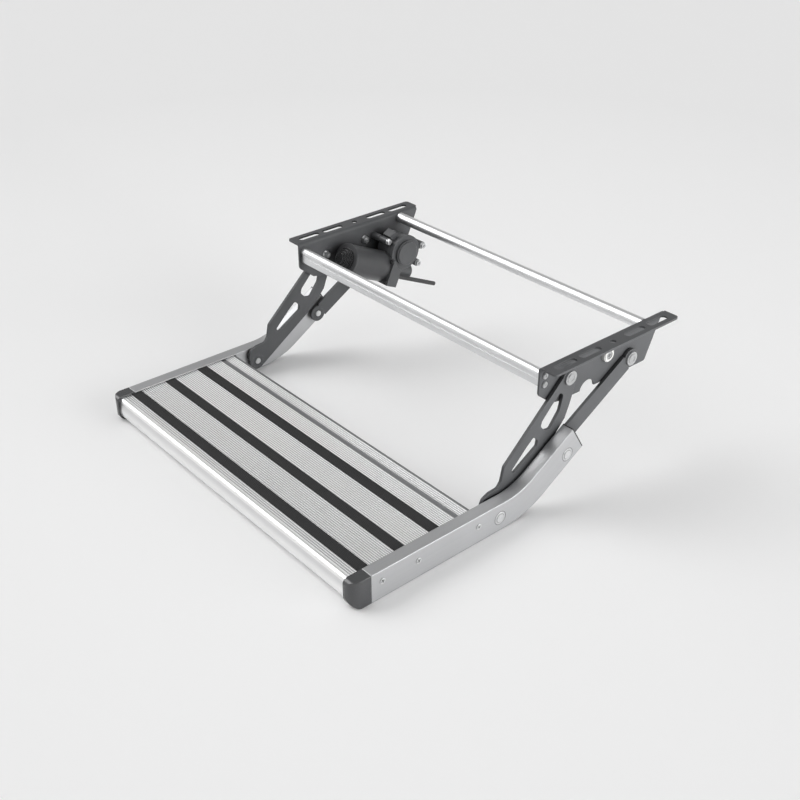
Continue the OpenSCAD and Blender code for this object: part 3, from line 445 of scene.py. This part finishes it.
# Painted shade: the cross recesses are painted nearly black and also made rougher.
recess = 1.0 - band(out_x.maths("ABSOLUTE", out_x), recess_floor, recess_rim)
start.put(shader.inputs["Base Color"], between(0.92 * recess, clean, colour(0.03, 0.03, 0.03)))
start.put(shader.inputs["Roughness"], 0.3 + 0.14 * mist + 0.3 * recess)
start.put(shader.inputs["Normal"], relief(mist, 0.00001, rounded_edge(start, 0.0003)))
wear(crossed, [name for name in sorted(node) if name.startswith("rail_screw")])

# End caps: dark grey moulded plastic with a fine spark-eroded grain, pushed on the rails'
# front ends and round the nose of the tread.
cap, shader, start, place = begin_finish("end_cap_plastic")
grain = cloud(place, 1900.0, 2.0)
edge = edge_mask(start, 0.0012)
start.put(shader.inputs["Base Color"],
          between(0.5 * grain + 0.5 * edge,
                  colour(0.034, 0.035, 0.037), colour(0.068, 0.069, 0.072)))
start.put(shader.inputs["Roughness"], 0.2 + 0.1 * grain)
start.put(shader.inputs["Normal"], relief(grain, 0.00003, rounded_edge(start, 0.0016)))
shader.inputs["Specular IOR Level"].default_value = 0.8
wear(cap, ["end_cap_left", "end_cap_right"])


# Floor: pale paper under the tread, which keeps the soft shadow of the step. It sinks
# gently behind the tread, to leave room for the rails when the step is stowed. Part of its
# paleness is its own, for the eye and for the metal that mirrors it; that own paleness fades
# where the step comes close, as painted contact shade. The paper is painted paler near the
# step and duller far off, as a painted pool of light.
def seen_by_eye_and_metal(start):
    """1 for the rays of the camera, of reflections and of glass, 0 for all others."""
    seen = start.add("ShaderNodeLightPath", {}, {}, out="Is Camera Ray")
    for ray in ("Is Glossy Ray", "Is Transmission Ray"):
        seen = seen.maths("MAXIMUM", seen, start.add("ShaderNodeLightPath", {}, {}, out=ray))
    return seen


floor_z, floor_half, floor_dip = cad_box[0][2] - 0.0005, 60.0, 0.0205
dip_from, dip_to, dip_rows = -0.185, 0.105, 24
floor_rows = [(-floor_half, floor_z)]
for i in range(dip_rows + 1):
    part = i / dip_rows
    floor_rows.append((dip_from + (dip_to - dip_from) * part,
                       floor_z - floor_dip * part * part * (3.0 - 2.0 * part)))
floor_rows.append((floor_half, floor_z - floor_dip))
floor_mesh = bpy.data.meshes.new("floor")
floor_mesh.from_pydata(
    [(side * floor_half, y, z) for y, z in floor_rows for side in (-1, 1)], [],
    [(i, i + 1, i + 3, i + 2) for i in range(0, 2 * len(floor_rows) - 2, 2)])
floor_mesh.shade_smooth()
floor = bpy.data.objects.new("floor", floor_mesh)
bpy.context.collection.objects.link(floor)
paper, shader, start, place = begin_finish("floor_paper")
step_centre, pale_within, dull_beyond = (0.0, -0.15, floor_z), 0.5, 1.8
from_step = place.add("ShaderNodeVectorMath", {"operation": "DISTANCE"},
                      {0: place, 1: step_centre}, out="Value")
# Painted pool of light: paler near the step, duller towards the edges.
start.put(shader.inputs["Base Color"],
          between(band(from_step, pale_within, dull_beyond),
                  colour(0.95, 0.95, 0.95), colour(0.84, 0.84, 0.84)))
shader.inputs["Roughness"].default_value = 0.9
own_paleness, contact_reach = 0.2, 0.09
seen = seen_by_eye_and_metal(start)
pale = start.add("ShaderNodeEmission", {}, {"Color": colour(0.96, 0.96, 0.96), "Strength": 1.0})
open_sky = start.add("ShaderNodeAmbientOcclusion", {"samples": 8},
                     {"Distance": contact_reach}, out="AO")
lit = Wire(paper.node_tree, shader.outputs["BSDF"])
# Painted contact shade: the floor's own paleness fades by ambient occlusion where the step comes
# close.
glowing = own_paleness * seen * open_sky * open_sky
start.put(paper.node_tree.nodes["Material Output"].inputs["Surface"],
          start.add("ShaderNodeMixShader", {}, {0: glowing, 1: lit, 2: pale}))
floor_mesh.materials.append(paper)

# Studio light: a grey room that darkens upwards, with five soft boxes, and a panel close by
# on the right that lights the step but not the floor or the mirror-like zinc heads. Near the
# horizon the eye and the metal see a plain pale backdrop.
room = bpy.data.worlds.new("room")
room.use_nodes = True
start = Wire(room.node_tree)
toward = start.add("ShaderNodeTexCoord", {}, {}, out="Generated")


def glow(strength):
    """White light of one strength."""
    return start.add("ShaderNodeBackground", {},
                     {"Color": colour(1.0, 1.0, 1.0), "Strength": strength})


def eased(value, low, high):
    """0 below low, 1 above high and smooth between them."""
    return value.add("ShaderNodeMapRange", {"interpolation_type": "SMOOTHSTEP"},
                     {"Value": value, "From Min": low, "From Max": high})


upward = axis_value(toward, "Z")
wall_glow, ceiling_glow, backdrop_glow = 0.46, 0.12, 0.78
light = start.add("ShaderNodeMixShader", {}, {0: eased(upward, 0.05, 0.4),
                                              1: glow(wall_glow), 2: glow(ceiling_glow)})
# Each soft box: where it stands, how many degrees from its middle it is at full strength and
# has faded out, and its strength.
overhead = ((0.0, 0.0, 1.0), 20.0, 40.0, 0.5)
left_behind = ((-0.65, 0.56, 0.52), 18.0, 44.0, 0.45)
high_left = ((-0.62, -0.43, 0.655), 14.0, 29.0, 4.2)
in_front = ((0.2, -0.8, 0.56), 8.0, 24.0, 1.0)
low_right = ((0.9, 0.36, 0.14), 10.0, 32.0, 5.0)
for aim, full, faded, strength in (overhead, left_behind, high_left, in_front, low_right):
    lean = start.add("ShaderNodeVectorMath", {"operation": "DOT_PRODUCT"},
                     {0: toward, 1: Vector(aim).normalized()}, out="Value")
    mask = eased(lean, math.cos(math.radians(faded)), math.cos(math.radians(full)))
    light = start.add("ShaderNodeMixShader", {}, {0: mask, 1: light, 2: glow(strength)})
low = seen_by_eye_and_metal(start) * (1.0 - eased(upward, 0.16, 0.34))
light = start.add("ShaderNodeMixShader", {}, {0: low, 1: light, 2: glow(backdrop_glow)})
start.put(room.node_tree.nodes["World Output"].inputs["Surface"], light)
bpy.context.scene.world = room
panel_width, panel_height, panel_watts = 0.8, 0.36, 6.0
panel_place, panel_aim = (1.0, 0.15, 0.05), Vector((-1.0, -0.18, -0.08))
side_data = bpy.data.lights.new("side_light", "AREA")
side_data.shape, side_data.energy = "RECTANGLE", panel_watts
side_data.size, side_data.size_y = panel_width, panel_height
side_light = bpy.data.objects.new("side_light", side_data)
bpy.context.collection.objects.link(side_light)
side_light.location = panel_place
side_light.rotation_mode = "QUATERNION"
side_light.rotation_quaternion = panel_aim.to_track_quat("-Z", "Y")
side_light.visible_camera = False
left_out = bpy.data.collections.new("left_out_of_side_light")
for thing in [floor] + [node[name] for name in zinc_pieces]:
    left_out.objects.link(thing)
for member in left_out.collection_objects:
    member.light_linking.link_state = "EXCLUDE"
side_light.light_linking.receiver_collection = left_out

# Camera: the step is seen from its right front corner, from a little above, with a normal
# lens. The sensor is as wide as the picture.
camera_azimuth, camera_elevation = math.radians(49.19), math.radians(31.33)
camera_data = bpy.data.cameras.new("camera")
camera_data.sensor_width, camera_data.lens = 36.0, 50.24
camera_data.clip_start, camera_data.clip_end = 0.05, 200.0
camera = bpy.data.objects.new("camera", camera_data)
bpy.context.collection.objects.link(camera)
camera_back = Vector((math.sin(camera_azimuth) * math.cos(camera_elevation),
                      -math.cos(camera_azimuth) * math.cos(camera_elevation),
                      math.sin(camera_elevation)))
camera.location = (1.0333, -1.0237, 0.6749)
camera.rotation_mode = "QUATERNION"
camera.rotation_quaternion = (-camera_back).to_track_quat("-Z", "Y")
bpy.context.scene.camera = camera
bpy.context.scene.view_settings.view_transform = "Standard"
